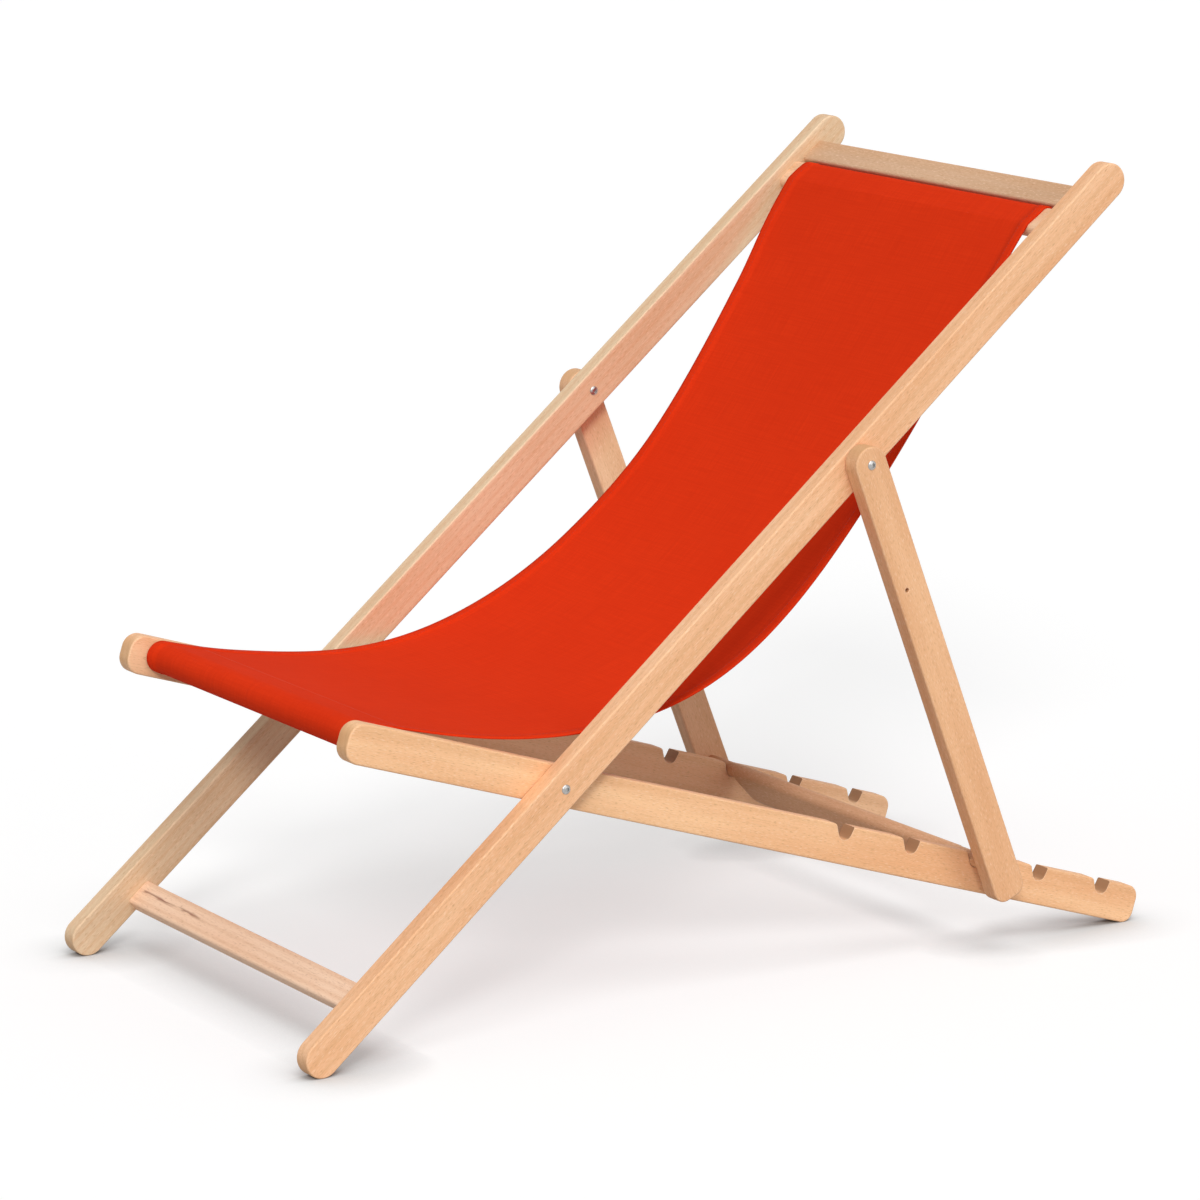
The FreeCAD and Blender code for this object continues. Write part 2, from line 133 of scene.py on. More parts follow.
# Fineness of the canvas: steps down its path, in order from the rod pocket's flap to the front pocket's,
# columns between the hems, and the lines of points in a hem as shares of its width
FLAP_STEPS = 3
ROD_POCKET_STEPS = 26
SLIT_STEPS = 4
UPPER_ARRIS_STEPS = 8
SLAT_FACE_STEPS = 8
LOWER_ARRIS_STEPS = 5
HANG_STEPS = 200
FRONT_POCKET_STEPS = 32
FRONT_RETURN_STEPS = 8
CANVAS_COLUMNS = 52
HEM_LINES = [0.0, 0.3, 0.65, 0.94, 1.0]
# Threads are drawn at 1.3 mm, about twice the real spacing, so that they show
THREAD_SPACING = 1.3 * MM
SLUB_WIDTH = 2 * MM
SLUB_LENGTH = 60 * MM
FADED_PATCH = 200 * MM
# Stitches, with the side lines' distance from the edge as a share of the hem's width
STITCH_PITCH = 4.0 * MM
STITCH_SIZE = Vector((0.45, 1.5, 0.3)) * MM
STITCH_LINE = 0.8

# Pivot heads
HEAD_RADIUS = 5.25 * MM
HEAD_HEIGHT = 2.2 * MM
HEAD_SEGMENTS = 36
HEAD_RINGS = 7
SHANK_RADIUS = 4 * MM
SOCKET_RADIUS = 2.8 * MM
SOCKET_DEPTH = 1.7 * MM
SOCKET_SIDES = 6
# Edges that turn by more than this are shaded as edges
SHARP_ANGLE = math.radians(40)

# Camera, fitted to the photograph, with its lens and sensor in millimetres and its sight in metres
CAMERA_AT = Vector((4.4273, -2.8777, 1.5323))
CAMERA_TURN = math.radians(57.153)
CAMERA_DIP = math.radians(12.234)
CAMERA_ROLL = math.radians(0.242)
CAMERA_LENS = 147.3
CAMERA_SENSOR = 36
CAMERA_SIGHT = 200

# Light: the world's level, and for each lamp the way to it, the share of white that it gives a surface
# square to it, and its spread in degrees
AMBIENT = 0.37
LAMPS = {
    "front_softbox": ((0.70, -0.50, 0.51), 0.43, 14),
    "overhead_softbox": ((0.45, -0.12, 0.88), 0.36, 30),
    "side_softbox": ((0.93, 0.33, 0.16), 0.17, 40),
}
# Floor: its reach each way, and the share of white that it gives to the camera by itself, so that with its
# own grey it comes out white
FLOOR_REACH = 40.0
FLOOR_LIFT = 0.57
# Painted contact shadow: how close a foot has to be for the floor to lose that lift, and how steeply it
# does
CONTACT_SHADOW_REACH = 80 * MM
CONTACT_SHADOW_POWER = 2


def linear(code):
    """Linear colour of an sRGB hex value."""
    parts = [int(code[i:i + 2], 16) / 255 for i in (1, 3, 5)]
    return tuple(c / 12.92 if c <= 0.04045 else ((c + 0.055) / 1.055) ** 2.4 for c in parts) + (1.0,)


def add(tree, kind, links=None, **settings):
    """A node with its settings, and its sockets given a value or linked to another socket."""
    node = tree.nodes.new(kind)
    for name, value in settings.items():
        setattr(node, name, value)
    for name, value in (links or {}).items():
        if isinstance(value, bpy.types.NodeSocket):
            tree.links.new(value, node.inputs[name])
        else:
            node.inputs[name].default_value = value
    return node


def new_material(name):
    """A material with nothing in its node tree yet, and that tree."""
    material = bpy.data.materials.new(name)
    material.use_nodes = True
    material.node_tree.nodes.clear()
    return material, material.node_tree


def washed(tree, ground, washes):
    """Colour of a ground with washes over it. Each wash is given as its mask, the values of the mask where
    it starts and where it is full, its strength there, and its tint."""
    colour = linear(ground)
    for mask, start, full, strength, tint in washes:
        links = {"Value": mask, "From Min": start, "From Max": full, "To Max": strength}
        amount = add(tree, "ShaderNodeMapRange", links)
        # A Mix node's colours are its inputs 6 and 7 and its output 2
        links = {"Factor": amount.outputs[0], 6: colour, 7: linear(tint)}
        colour = add(tree, "ShaderNodeMix", links, data_type="RGBA").outputs[2]
    return colour


def seen_plainly(tree):
    """1 for what the camera sees, straight, in a reflection or through glass, 0 for scattered light."""
    path = add(tree, "ShaderNodeLightPath")
    seen = path.outputs["Is Camera Ray"]
    for kind in ("Is Glossy Ray", "Is Transmission Ray"):
        seen = add(tree, "ShaderNodeMath", {0: seen, 1: path.outputs[kind]}, operation="MAXIMUM").outputs[0]
    return seen


def beech(name, turn, cut, deep, pale, mark):
    """Planed and sanded beech, left bare: pale tan with soft growth rings, fine fibre and short flecks
    along the length, arrises painted paler as rubbing wear and as a painted highlight, and browner end
    grain.
    Each board has its own cut and tone."""
    material, tree = new_material(name)
    coords = add(tree, "ShaderNodeTexCoord")
    # The grain runs along Y once the coordinates are turned
    laid = add(
        tree, "ShaderNodeMapping", {"Vector": coords.outputs["Object"], "Rotation": turn, "Location": cut}
    )
    figures = dict(GRAIN)
    if mark == "streaks":
        figures["streak"] = STREAK_GRAIN
    drawn = {}
    for figure, (across, along, detail) in figures.items():
        size = (1 / across, 1 / along, 1 / across)
        stretched = add(tree, "ShaderNodeVectorMath", {0: laid.outputs[0], 1: size}, operation="MULTIPLY")
        links = {"Vector": stretched.outputs[0], "Scale": 1.0, "Detail": detail}
        drawn[figure] = add(tree, "ShaderNodeTexNoise", links).outputs["Fac"]
    size = (1 / RING_WIDTH, 1 / RING_LENGTH, 1 / RING_WIDTH)
    stretched = add(tree, "ShaderNodeVectorMath", {0: laid.outputs[0], 1: size}, operation="MULTIPLY")
    # At this scale one ring is about as wide as one unit of the stretched coordinates
    rings = add(
        tree, "ShaderNodeTexWave",
        {"Vector": stretched.outputs[0], "Scale": 0.31, "Distortion": 3.2, "Detail": 2.0,
         "Detail Scale": 0.7},
        wave_type="RINGS", rings_direction="Y",
    )
    washes = [
        (drawn["tone"], 0.3, 0.7, 1.0, pale),
        (rings.outputs["Fac"], 0.45, 1.0, 0.26, "#D69E6C"),
        (drawn["fibre"], 0.50, 0.74, 0.30, "#CB9363"),
        (drawn["fleck"], 0.60, 0.74, 0.42, "#B27A4E"),
        (drawn["fleck"], 0.42, 0.28, 0.35, "#FFE0C2"),
    ]
    if mark == "streaks":
        # A line of brown mineral streaks at one height, towards the far end of the board
        low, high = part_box("foot_slat")
        height = low.z + STREAK_HEIGHT * (high.z - low.z)
        place = add(tree, "ShaderNodeSeparateXYZ", {0: coords.outputs["Object"]})
        above = add(tree, "ShaderNodeMath", {0: place.outputs["Z"], 1: height}, operation="SUBTRACT")
        off_line = add(tree, "ShaderNodeMath", {0: above.outputs[0]}, operation="ABSOLUTE")
        on_line = add(
            tree, "ShaderNodeMapRange",
            {"Value": off_line.outputs[0], "From Min": STREAK_WIDTH, "From Max": 0.0},
        )
        far_end = add(
            tree, "ShaderNodeMapRange",
            {"Value": place.outputs["X"], "From Min": STREAK_END, "From Max": STREAK_END - STREAK_FADE,
             "To Max": on_line.outputs[0]},
        )
        washes.append((drawn["streak"], 0.44, 0.60, far_end.outputs[0], "#9C6752"))
    # The arrises are painted paler: partly rubbing wear, partly a painted highlight along every edge
    eased = add(tree, "ShaderNodeBevel", {"Radius": ARRIS_ROUNDING_AND_HIGHLIGHT}, samples=6)
    shape = add(tree, "ShaderNodeNewGeometry")
    arris_wear_and_highlight_mask = add(
        tree, "ShaderNodeVectorMath", {0: eased.outputs[0], 1: shape.outputs["Normal"]},
        operation="DOT_PRODUCT",
    )
    washes.append((arris_wear_and_highlight_mask.outputs["Value"], 0.995, 0.93, 0.55, "#FBDCBC"))
    # End grain faces along the length
    lengthwise = Vector((0, 1, 0))
    lengthwise.rotate(Matrix.Rotation(-turn[2], 3, "Z") @ Matrix.Rotation(-turn[0], 3, "X"))
    facing = add(
        tree, "ShaderNodeVectorMath", {0: coords.outputs["Normal"], 1: lengthwise}, operation="DOT_PRODUCT"
    )
    square = add(tree, "ShaderNodeMath", {0: facing.outputs["Value"]}, operation="ABSOLUTE")
    washes.append((square.outputs[0], 0.55, 0.95, 0.5, "#C99865"))
    if mark == "notches":
        # The notch faces are painted the brownest: partly their sawn end grain, partly painted shade in the
        # recesses
        ahead = add(
            tree, "ShaderNodeVectorMath", {0: coords.outputs["Object"], 1: lengthwise},
            operation="DOT_PRODUCT",
        ).outputs["Value"]
        first = seat_pivot.dot(lengthwise) + NOTCHES_FROM
        last = seat_pivot.dot(lengthwise) + NOTCHES_TO
        past_first = add(tree, "ShaderNodeMath", {0: ahead, 1: first}, operation="GREATER_THAN")
        short_of_last = add(tree, "ShaderNodeMath", {0: ahead, 1: last}, operation="LESS_THAN")
        notch_painted_shade = add(
            tree, "ShaderNodeMath", {0: past_first.outputs[0], 1: short_of_last.outputs[0]},
            operation="MULTIPLY",
        )
        washes.append((square.outputs[0], 0.30, 0.75, notch_painted_shade.outputs[0], "#AE8460"))
    rough = add(tree, "ShaderNodeMapRange", {"Value": drawn["fibre"], "To Min": 0.50, "To Max": 0.68})
    relief = add(
        tree, "ShaderNodeBump",
        {"Height": drawn["fibre"], "Strength": 0.3, "Distance": 0.12 * MM, "Normal": eased.outputs[0]},
    )
    shader = add(
        tree, "ShaderNodeBsdfPrincipled",
        {"Base Color": washed(tree, deep, washes), "Roughness": rough.outputs[0],
         "Normal": relief.outputs[0], "IOR": 1.5, "Specular IOR Level": 0.3},
    )
    add(tree, "ShaderNodeOutputMaterial", {"Surface": shader.outputs[0]})
    return material


def red_canvas(name):
    """Plain-woven cotton canvas dyed orange red: a fine over-and-under weave, threads of slightly
    uneven shade, a dry surface with a little bloom at grazing angles."""
    material, tree = new_material(name)
    cloth = add(tree, "ShaderNodeUVMap", uv_map="canvas")
    # A Wave texture of scale 1 repeats every tenth of pi
    wave_scale = math.pi / (10 * THREAD_SPACING)
    threads = []
    for direction in ("X", "Y"):
        threads.append(add(
            tree, "ShaderNodeTexWave", {"Vector": cloth.outputs[0], "Scale": wave_scale, "Distortion": 0.0},
            wave_type="BANDS", bands_direction=direction,
        ))
    weave = add(
        tree, "ShaderNodeMath", {0: threads[0].outputs["Fac"], 1: threads[1].outputs["Fac"]},
        operation="MULTIPLY",
    )
    slubs = []
    for size in ((1 / SLUB_WIDTH, 1 / SLUB_LENGTH, 1), (1 / SLUB_LENGTH, 1 / SLUB_WIDTH, 1)):
        stretched = add(tree, "ShaderNodeVectorMath", {0: cloth.outputs[0], 1: size}, operation="MULTIPLY")
        links = {"Vector": stretched.outputs[0], "Scale": 1.0, "Detail": 2.0}
        slubs.append(add(tree, "ShaderNodeTexNoise", links))
    slub = add(
        tree, "ShaderNodeMath", {0: slubs[0].outputs["Fac"], 1: slubs[1].outputs["Fac"]},
        operation="MULTIPLY",
    )
    fade = add(
        tree, "ShaderNodeTexNoise", {"Vector": cloth.outputs[0], "Scale": 1 / FADED_PATCH, "Detail": 3.0}
    )
    colour = washed(tree, "#DA330F", [
        (slub.outputs[0], 0.12, 0.40, 1.0, "#E43912"),
        (fade.outputs["Fac"], 0.35, 0.7, 0.4, "#D5300D"),
        (weave.outputs[0], 0.3, 0.0, 0.16, "#B8240A"),
    ])
    relief = add(
        tree, "ShaderNodeBump", {"Height": weave.outputs[0], "Strength": 0.35, "Distance": 0.2 * MM}
    )
    shader = add(
        tree, "ShaderNodeBsdfPrincipled",
        {"Base Color": colour, "Roughness": 0.9, "Normal": relief.outputs[0], "Specular IOR Level": 0.06,
         "Sheen Weight": 0.05, "Sheen Roughness": 0.5, "Sheen Tint": linear("#FF5A28")},
    )
    add(tree, "ShaderNodeOutputMaterial", {"Surface": shader.outputs[0]})
    return material


def zinc_plate(name):
    """Zinc-plated steel, turned and tumbled: bright grey with a faintly cloudy, slightly rough face."""
    material, tree = new_material(name)
    coords = add(tree, "ShaderNodeTexCoord")
    cloud = add(
        tree, "ShaderNodeTexNoise",
        {"Vector": coords.outputs["Object"], "Scale": 1 / (2 * MM), "Detail": 3.0},
    ).outputs["Fac"]
    rough = add(tree, "ShaderNodeMapRange", {"Value": cloud, "To Min": 0.22, "To Max": 0.42})
    shader = add(
        tree, "ShaderNodeBsdfPrincipled",
        {"Base Color": washed(tree, "#92918F", [(cloud, 0.0, 1.0, 1.0, "#C8C7C5")]), "Metallic": 1.0,
         "Roughness": rough.outputs[0]},
    )
    add(tree, "ShaderNodeOutputMaterial", {"Surface": shader.outputs[0]})
    return material


def sewing_thread(name):
    """Spun polyester thread in the canvas's red: a touch darker, with a slight gloss along the ply."""
    material, tree = new_material(name)
    coords = add(tree, "ShaderNodeTexCoord")
    ply = add(
        tree, "ShaderNodeTexNoise",
        {"Vector": coords.outputs["Object"], "Scale": 1 / (0.8 * MM), "Detail": 1.0},
    ).outputs["Fac"]
    shader = add(
        tree, "ShaderNodeBsdfPrincipled",
        {"Base Color": washed(tree, "#A81F0A", [(ply, 0.0, 1.0, 1.0, "#D23A1C")]), "Roughness": 0.5,
         "Specular IOR Level": 0.3},
    )
    add(tree, "ShaderNodeOutputMaterial", {"Surface": shader.outputs[0]})
    return material


def white_studio_floor(name):
    """Plain grey under the light, lifted to white where it is seen, with the chair's shadow kept and a
    painted contact shadow where the lift fades near the feet.
    """
    material, tree = new_material(name)
    plain = add(tree, "ShaderNodeBsdfDiffuse", {"Color": linear("#B6B6B6")})
    lift = add(tree, "ShaderNodeMath", {0: seen_plainly(tree), 1: FLOOR_LIFT}, operation="MULTIPLY")
    # Painted contact shadow: the lift is taken away by ambient occlusion close to the feet
    clear = add(tree, "ShaderNodeAmbientOcclusion", {"Distance": CONTACT_SHADOW_REACH})
    painted_contact_shadow = add(tree, "ShaderNodeMath", {0: clear.outputs["AO"], 1: CONTACT_SHADOW_POWER}, operation="POWER")
    kept = add(tree, "ShaderNodeMath", {0: lift.outputs[0], 1: painted_contact_shadow.outputs[0]}, operation="MULTIPLY")
    glow = add(tree, "ShaderNodeEmission", {"Color": linear("#FFFFFF"), "Strength": kept.outputs[0]})
    both = add(tree, "ShaderNodeAddShader", {0: plain.outputs[0], 1: glow.outputs[0]})
    add(tree, "ShaderNodeOutputMaterial", {"Surface": both.outputs[0]})
    return material


def new_piece(name, bm, material):
    """An object of one material from a bmesh, shaded smooth between its edges."""
    mesh = bpy.data.meshes.new(name)
    bm.to_mesh(mesh)
    bm.free()
    mesh.materials.append(material)
    mesh.shade_smooth()
    mesh.set_sharp_from_angle(angle=SHARP_ANGLE)
    piece = bpy.data.objects.new(name, mesh)
    bpy.context.scene.collection.objects.link(piece)
    return piece


def middle(node):
    """Middle of the box round a piece of the part."""
    low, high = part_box(node)
    return (low + high) / 2


# Places read from the frame
seat_joint, prop_joint = frame["joints"]
seat_pivot = Vector(seat_joint["pos_m"])
prop_pivot = Vector(prop_joint["pos_m"])
rail_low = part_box("back_rail_left")[0]
foot = Vector((0, rail_low.y + RAIL_WIDTH / 2, rail_low.z + RAIL_WIDTH / 2))
up_rail = (seat_pivot - foot).normalized()
off_rail = Vector((0, -up_rail.z, up_rail.y))
back_slope = math.atan2(up_rail.z, up_rail.y)
bar = middle("front_rail")
bar_radius = (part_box("front_rail")[1].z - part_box("front_rail")[0].z) / 2
rod = middle("cloth_rod")
rod_radius = (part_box("cloth_rod")[1].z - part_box("cloth_rod")[0].z) / 2
guide = middle("guide_slat")


def pointing(angle):
    """Unit vector at an angle in the side view, from rearward towards up."""
    return Vector((0, math.cos(angle), math.sin(angle)))


def round_bend(centre, radius, first, last, count):
    """Points round a centre in the side view, from one angle to another."""
    return [centre + pointing(first + (last - first) * i / count) * radius for i in range(count + 1)]


def straight(start, end, count):
    """Points between two places, without the places themselves."""
    return [start.lerp(end, i / count) for i in range(1, count)]


def canvas_line():
    """The canvas's under face in the side view, from the flap of the rod pocket to the flap of the front
    pocket, and the numbers of the first and last points of the free hang."""
    level = back_slope + math.pi / 2
    guide_top = guide + up_rail * (GUIDE_SLAT_WIDTH / 2)
    guide_front = off_rail * (GUIDE_SLAT_THICKNESS / 2)
    reach = GUIDE_SLAT_ARRIS + CANVAS_CLEARANCE
    upper = guide_top - up_rail * GUIDE_SLAT_ARRIS + guide_front - off_rail * GUIDE_SLAT_ARRIS
    lower = upper - up_rail * (GUIDE_SLAT_WIDTH - 2 * GUIDE_SLAT_ARRIS)
    mouth = off_rail * ((rod - guide).dot(off_rail) + rod_radius + HEM_THICKNESS)
    under = guide_top + mouth + up_rail * CANVAS_CLEARANCE
    over = under + up_rail * (HEM_THICKNESS + CANVAS_CLEARANCE)
    flap = off_rail * (SEAM_FLAP / 2)
    pocket_start = level + ROD_POCKET_MOUTH
    pocket_end = level + 2 * math.pi - ROD_POCKET_MOUTH

    line = [under + flap] + straight(under + flap, under, FLAP_STEPS)
    line += round_bend(rod, rod_radius + ROD_POCKET_SLACK, pocket_start, pocket_end, ROD_POCKET_STEPS)
    line += [over, over + flap]
    line += straight(over + flap, upper + up_rail * reach, SLIT_STEPS)
    line += round_bend(upper, reach, back_slope, level, UPPER_ARRIS_STEPS)
    line += straight(line[-1], lower + off_rail * reach, SLAT_FACE_STEPS)
    line += round_bend(lower, reach, level, level + TOP_ANGLE - back_slope, LOWER_ARRIS_STEPS)
    hang_start = len(line) - 1

    # The free hang is one curve between the guide slat and the bar
    bar_reach = bar_radius + CANVAS_CLEARANCE
    over_bar = pointing(math.pi / 2 - FRONT_ANGLE)
    top_way = pointing(math.pi + TOP_ANGLE)
    front_way = pointing(math.pi - FRONT_ANGLE)
    start = line[-1]
    end = bar + over_bar * bar_reach
    handles = (start, start + top_way * TOP_PULL, end - front_way * FRONT_PULL, end)
    for i in range(1, HANG_STEPS):
        t = i / HANG_STEPS
        weights = ((1 - t) ** 3, 3 * (1 - t) ** 2 * t, 3 * (1 - t) * t * t, t ** 3)
        line.append(sum((h * w for h, w in zip(handles, weights)), Vector()))
    hang_end = len(line)

    # The front pocket rests on the bar and hangs slack under it
    pocket = bar - over_bar * FRONT_POCKET_SLACK
    pocket_reach = bar_reach + FRONT_POCKET_SLACK
    seam = end - front_way * FRONT_SEAM_BACK - over_bar * (HEM_THICKNESS + CANVAS_CLEARANCE)
    seam_end = seam - front_way * SEAM_FLAP
    to_seam = seam - pocket
    leave = math.atan2(to_seam.z, to_seam.y) - math.acos(pocket_reach / to_seam.length) + 2 * math.pi
    line += round_bend(pocket, pocket_reach, math.pi / 2 - FRONT_ANGLE, leave, FRONT_POCKET_STEPS)
    line += straight(line[-1], seam, FRONT_RETURN_STEPS)
    line += [seam] + straight(seam, seam_end, FLAP_STEPS) + [seam_end]
    return line, hang_start, hang_end


line, hang_start, hang_end = canvas_line()
# Length of the canvas's path up to each of its points
stations = [0.0]
for here, there in zip(line, line[1:]):
    stations.append(stations[-1] + (there - here).length)
hang_from = stations[hang_start]
hang_length = stations[hang_end] - hang_from


def edge_reach(station, side):
    """Reach of the canvas to one edge, the far one (-1) or the near one (1), along a smooth curve."""
    column = 1 if side < 0 else 2
    last = len(EDGES) - 1
    places = [row[0] for row in EDGES]
    place = min(max((station - hang_from) / hang_length, places[0]), places[last])
    i = min(max(bisect.bisect_right(places, place), 1), last)

    def slope(k):
        before, after = EDGES[max(k - 1, 0)], EDGES[min(k + 1, last)]
        return (after[column] - before[column]) / (after[0] - before[0])

    gap = places[i] - places[i - 1]
    t = (place - places[i - 1]) / gap
    start = EDGES[i - 1][column] * (1 + 2 * t) + slope(i - 1) * gap * t
    end = EDGES[i][column] * (3 - 2 * t) - slope(i) * gap * (1 - t)
    return start * (1 - t) ** 2 + end * t * t


def on_canvas(x, station, lift=0.0):
    """Point at a place across and along the canvas, lifted off its under face, with the upward normal and
    the way along the canvas."""
    i = min(max(bisect.bisect_right(stations, station), 1), len(line) - 1)
    t = (station - stations[i - 1]) / (stations[i] - stations[i - 1])
    ahead = line[min(i + 1, len(line) - 1)] - line[i - 1]
    behind = line[i] - line[max(i - 2, 0)]
    way = behind.normalized().lerp(ahead.normalized(), t).normalized()
    normal = Vector((0, way.z, -way.y))
    place = min(max((station - hang_from) / hang_length, 0.0), 1.0)
    free = math.sin(math.pi * place) ** 2
    across = x / edge_reach(station, x)
    sag = BELLY * free * (1 - across * across)
    ripple = RIPPLE * free
    for turn_across, turn_along in RIPPLE_WAVES:
        ripple *= math.sin(turn_across * x + turn_along * place)
    point = line[i - 1].lerp(line[i], t) + normal * (lift - sag + ripple)
    return Vector((x, point.y, point.z)), normal, way


def make_canvas(material):
    """One sheet along the whole path, thicker in its two folded hems, with its flat sizes as its UV map."""
    hem_columns = len(HEM_LINES) - 1
    rows = len(line) - 1
    columns = CANVAS_COLUMNS + 2 * hem_columns
    bm = bmesh.new()
    bmesh.ops.create_grid(bm, x_segments=columns, y_segments=rows, size=1.0)
    uv = bm.loops.layers.uv.new("canvas")
    thick = bm.verts.layers.deform.verify()
    flat = {}
    for vert in bm.verts:
        column = round((vert.co.x + 1) / 2 * columns)
        row = round((vert.co.y + 1) / 2 * rows)
        side = 1 if column > columns / 2 else -1
        edge = min(column, columns - column)
        reach = edge_reach(stations[row], side)
        if edge <= hem_columns:
            x = side * (reach - HEM_WIDTH * HEM_LINES[edge])
        else:
            x = (reach - HEM_WIDTH) * (2 * (column - hem_columns) / CANVAS_COLUMNS - 1)
        vert.co = on_canvas(x, stations[row])[0]
        vert[thick][0] = 1.0 if edge < hem_columns else CANVAS_THICKNESS / HEM_THICKNESS
        flat[vert] = (x, stations[row])
    for face in bm.faces:
        for loop in face.loops:
            loop[uv].uv = flat[loop.vert]
    # The sheet gets its thickness on the sitter's side, so its faces have to look that way
    bm.normal_update()
    probe = max(bm.faces, key=lambda f: f.calc_center_median().z)
    if probe.normal.dot(off_rail) < 0:
        bmesh.ops.reverse_faces(bm, faces=bm.faces)
    piece = new_piece("canvas_seat", bm, material)
    piece.vertex_groups.new(name="thickness")
    wall = piece.modifiers.new("thickness", "SOLIDIFY")
    wall.thickness = HEM_THICKNESS
    wall.offset = 1.0
    wall.vertex_group = "thickness"
    return piece


def make_stitches(material):
    """Lockstitch along both side hems, on both faces of the canvas, and across the front pocket's seam."""
    bm = bmesh.new()

    def sew(x, station, along, lift):
        point, normal, way = on_canvas(x, station, lift)
        length_way = way if along else Vector((1, 0, 0))
        side_way = length_way.cross(normal)
        turn = Matrix((side_way, length_way, normal)).transposed().to_4x4()
        size = Matrix.Diagonal(STITCH_SIZE).to_4x4()
        bmesh.ops.create_icosphere(
            bm, subdivisions=1, radius=1.0, matrix=Matrix.Translation(point) @ turn @ size
        )

    first = hang_from - GUIDE_SLAT_WIDTH
    last = hang_from + hang_length + bar_radius
    for i in range(int((last - first) / STITCH_PITCH)):
        station = first + i * STITCH_PITCH
        for side in (-1, 1):
            x = side * (edge_reach(station, side) - STITCH_LINE * HEM_WIDTH)
            sew(x, station, True, HEM_THICKNESS)
            if i * STITCH_PITCH > GUIDE_SLAT_WIDTH and station < hang_from + hang_length:
                sew(x, station, True, 0.0)
    seam = hang_from + hang_length - FRONT_SEAM_BACK - SEAM_FLAP / 2
    far, near = edge_reach(seam, -1), edge_reach(seam, 1)
    for i in range(int((far + near) / STITCH_PITCH)):
        x = -far + (i + 0.5) * STITCH_PITCH
        lift = CANVAS_THICKNESS if HEM_WIDTH - far < x < near - HEM_WIDTH else HEM_THICKNESS
        sew(x, seam, False, lift)
    return new_piece("canvas_stitching", bm, material)


def add_head(bm, face):
    """Draws a low domed head with a six-sided socket out of an end face of a shank that stands along Z."""
    base = face.calc_center_median().z
    outward = math.copysign(1, base)
    sector = 2 * math.pi / SOCKET_SIDES
    for i in range(HEAD_RINGS + 1):
        inward = i / HEAD_RINGS
        angle = math.acos(SOCKET_RADIUS / HEAD_RADIUS) * inward
        height = HEAD_HEIGHT * math.sin(angle)
        face = bmesh.ops.extrude_discrete_faces(bm, faces=[face])["faces"][0]
        for vert in face.verts:
            way = Vector((vert.co.x, vert.co.y, 0)).normalized()
            off_flat = math.atan2(way.y, way.x) % sector - sector / 2
            socket = SOCKET_RADIUS * math.cos(sector / 2) / math.cos(off_flat)
            radius = HEAD_RADIUS * math.cos(angle) + (socket - SOCKET_RADIUS) * inward
            vert.co = way * radius + Vector((0, 0, base + outward * height))
    face = bmesh.ops.extrude_discrete_faces(bm, faces=[face])["faces"][0]
    for vert in face.verts:
        vert.co.z -= outward * SOCKET_DEPTH


def make_pivots(material):
    """Pins through each pair of rails, with a domed head and a six-sided socket at both ends."""
    bm = bmesh.new()
    for pivot, (inner, outer) in (
        (prop_pivot, (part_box("back_rail_left")[0].x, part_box("prop_strut_left")[1].x)),
        (seat_pivot, (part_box("seat_rail_left")[0].x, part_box("back_rail_left")[1].x)),
    ):
        for side in (-1, 1):
            known_verts, known_faces = len(bm.verts), len(bm.faces)
            bmesh.ops.create_cone(
                bm, cap_ends=True, segments=HEAD_SEGMENTS, radius1=SHANK_RADIUS, radius2=SHANK_RADIUS,
                depth=outer - inner,
            )
            bm.faces.ensure_lookup_table()
            for end in [face for face in bm.faces[known_faces:] if len(face.verts) == HEAD_SEGMENTS]:
                add_head(bm, end)
            across = Matrix.Translation(pivot + Vector((side * (inner + outer) / 2, 0, 0)))
            bm.verts.ensure_lookup_table()
            bmesh.ops.transform(
                bm, matrix=across @ Matrix.Rotation(math.pi / 2, 4, "Y"), verts=bm.verts[known_verts:]
            )
    return new_piece("pivot_pins_dressed", bm, material)


# Timber: the turn that lays each board's grain along Y, and its deeper and paler tones
cross_turn = (0, 0, math.pi / 2)
neck = middle("prop_crossbar")
strut_slope = math.atan2(neck.z - prop_pivot.z, neck.y - prop_pivot.y)
# The far back rail and far strut (the _right ones) are set yellower than their near twins: painted light
# that offsets the red light the canvas throws on them
boards = {
    "back_rail_left": ((-back_slope, 0, 0), "#EAAF80", "#F8C69B"),
    "back_rail_right": ((-back_slope, 0, 0), "#DAB68F", "#E8CDAB"),
    "seat_rail_left": ((SEAT_SLOPE, 0, 0), "#EDB282", "#FACA9B"),
    "seat_rail_right": ((SEAT_SLOPE, 0, 0), "#F0B88C", "#FBCFA4"),
    "prop_strut_left": ((-strut_slope, 0, 0), "#E2A87A", "#F2BF92"),
    "prop_strut_right": ((-strut_slope, 0, 0), "#E6B288", "#F4C8A0"),
    "head_slat": (cross_turn, "#C9A07D", "#D8B18F"),
    "guide_slat": (cross_turn, "#EAB58C", "#F6CBA6"),
    "foot_slat": (cross_turn, "#F4C9A8", "#FCD8BA"),
    "front_rail": (cross_turn, "#E9B084", "#F5C69B"),
    "cloth_rod": (cross_turn, "#E6B287", "#F3C69E"),
    "prop_crossbar": (cross_turn, "#D4A177", "#E2B48B"),
}
marks = {"foot_slat": "streaks", "seat_rail_left": "notches", "seat_rail_right": "notches"}
for i, (node, (turn, deep, pale)) in enumerate(boards.items()):
    cut = tuple(first + step * i for first, step in zip(FIRST_CUT, NEXT_CUT))
    timber = frame["nodes"][node]
    timber.data.materials.clear()
    timber.data.materials.append(beech("beech_" + node, turn, cut, deep, pale, marks.get(node)))

# Hardware
zinc = zinc_plate("zinc_plated_steel")
washers = frame["nodes"]["pivot_washers"]
washers.data.materials.clear()
washers.data.materials.append(zinc)
pivots = make_pivots(zinc)
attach(pivots, "back_frame")
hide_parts("pivot_pins")
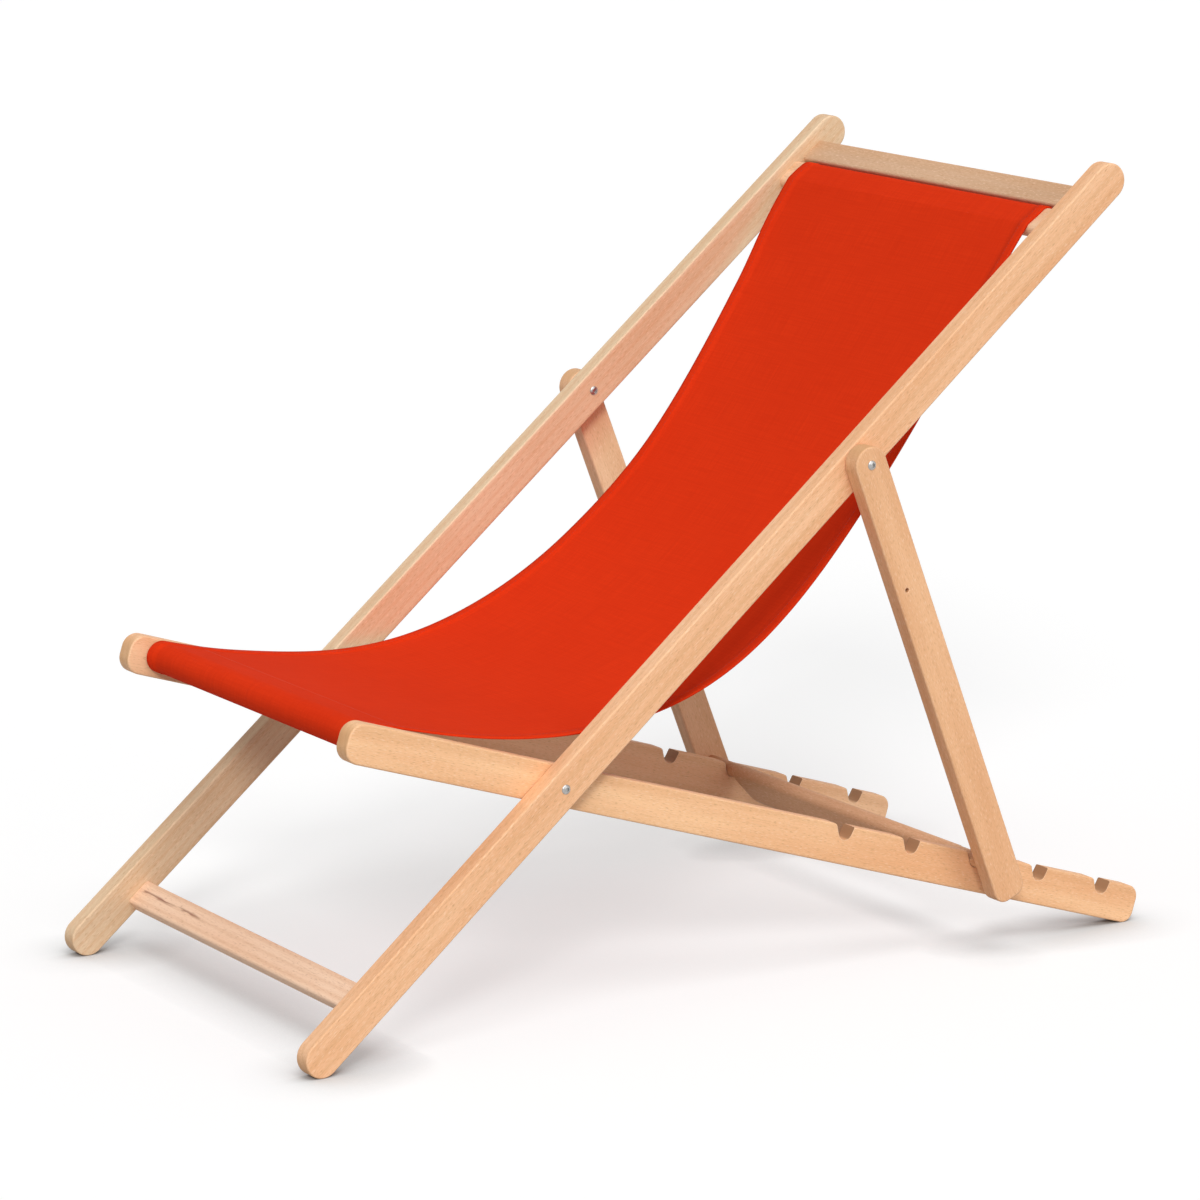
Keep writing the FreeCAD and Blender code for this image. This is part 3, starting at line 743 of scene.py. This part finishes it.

# Canvas, and the area that it covers laid flat, summed from its width down the path
canvas = make_canvas(red_canvas("red_cotton_canvas"))
stitching = make_stitches(sewing_thread("red_sewing_thread"))
for piece in (canvas, stitching):
    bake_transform(piece)
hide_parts("sling")
widths = [edge_reach(s, -1) + edge_reach(s, 1) for s in stations]
strips = zip(widths, widths[1:], stations, stations[1:])
canvas_area = sum((wide + next_wide) / 2 * (there - here) for wide, next_wide, here, there in strips)

# Floor
floor_mesh = bmesh.new()
bmesh.ops.create_grid(floor_mesh, x_segments=1, y_segments=1, size=FLOOR_REACH)
new_piece("studio_floor", floor_mesh, white_studio_floor("white_studio_floor"))

# Light
scene = bpy.context.scene
world = bpy.data.worlds.new("white_studio")
scene.world = world
world.use_nodes = True
tree = world.node_tree
tree.nodes.clear()
ambient = add(tree, "ShaderNodeBackground", {"Color": linear("#FFFFFF"), "Strength": AMBIENT})
white = add(tree, "ShaderNodeBackground", {"Color": linear("#FFFFFF"), "Strength": 1.0})
mixed = add(
    tree, "ShaderNodeMixShader", {0: seen_plainly(tree), 1: ambient.outputs[0], 2: white.outputs[0]}
)
add(tree, "ShaderNodeOutputWorld", {"Surface": mixed.outputs[0]})
for name, (toward, share_of_white, spread) in LAMPS.items():
    lamp = bpy.data.lights.new(name, "SUN")
    lamp.energy = math.pi * share_of_white
    lamp.angle = math.radians(spread)
    holder = bpy.data.objects.new(name, lamp)
    holder.rotation_euler = Vector(toward).to_track_quat("Z", "Y").to_euler()
    scene.collection.objects.link(holder)

# Camera
camera_data = bpy.data.cameras.new("photo_camera")
camera_data.sensor_width = CAMERA_SENSOR
camera_data.lens = CAMERA_LENS
camera_data.clip_end = CAMERA_SIGHT
camera = bpy.data.objects.new("photo_camera", camera_data)
tilt = Matrix.Rotation(math.pi / 2 - CAMERA_DIP, 4, "X") @ Matrix.Rotation(CAMERA_ROLL, 4, "Z")
camera.matrix_world = Matrix.Translation(CAMERA_AT) @ Matrix.Rotation(CAMERA_TURN, 4, "Z") @ tilt
scene.collection.objects.link(camera)
scene.camera = camera
scene.view_settings.view_transform = "Standard"
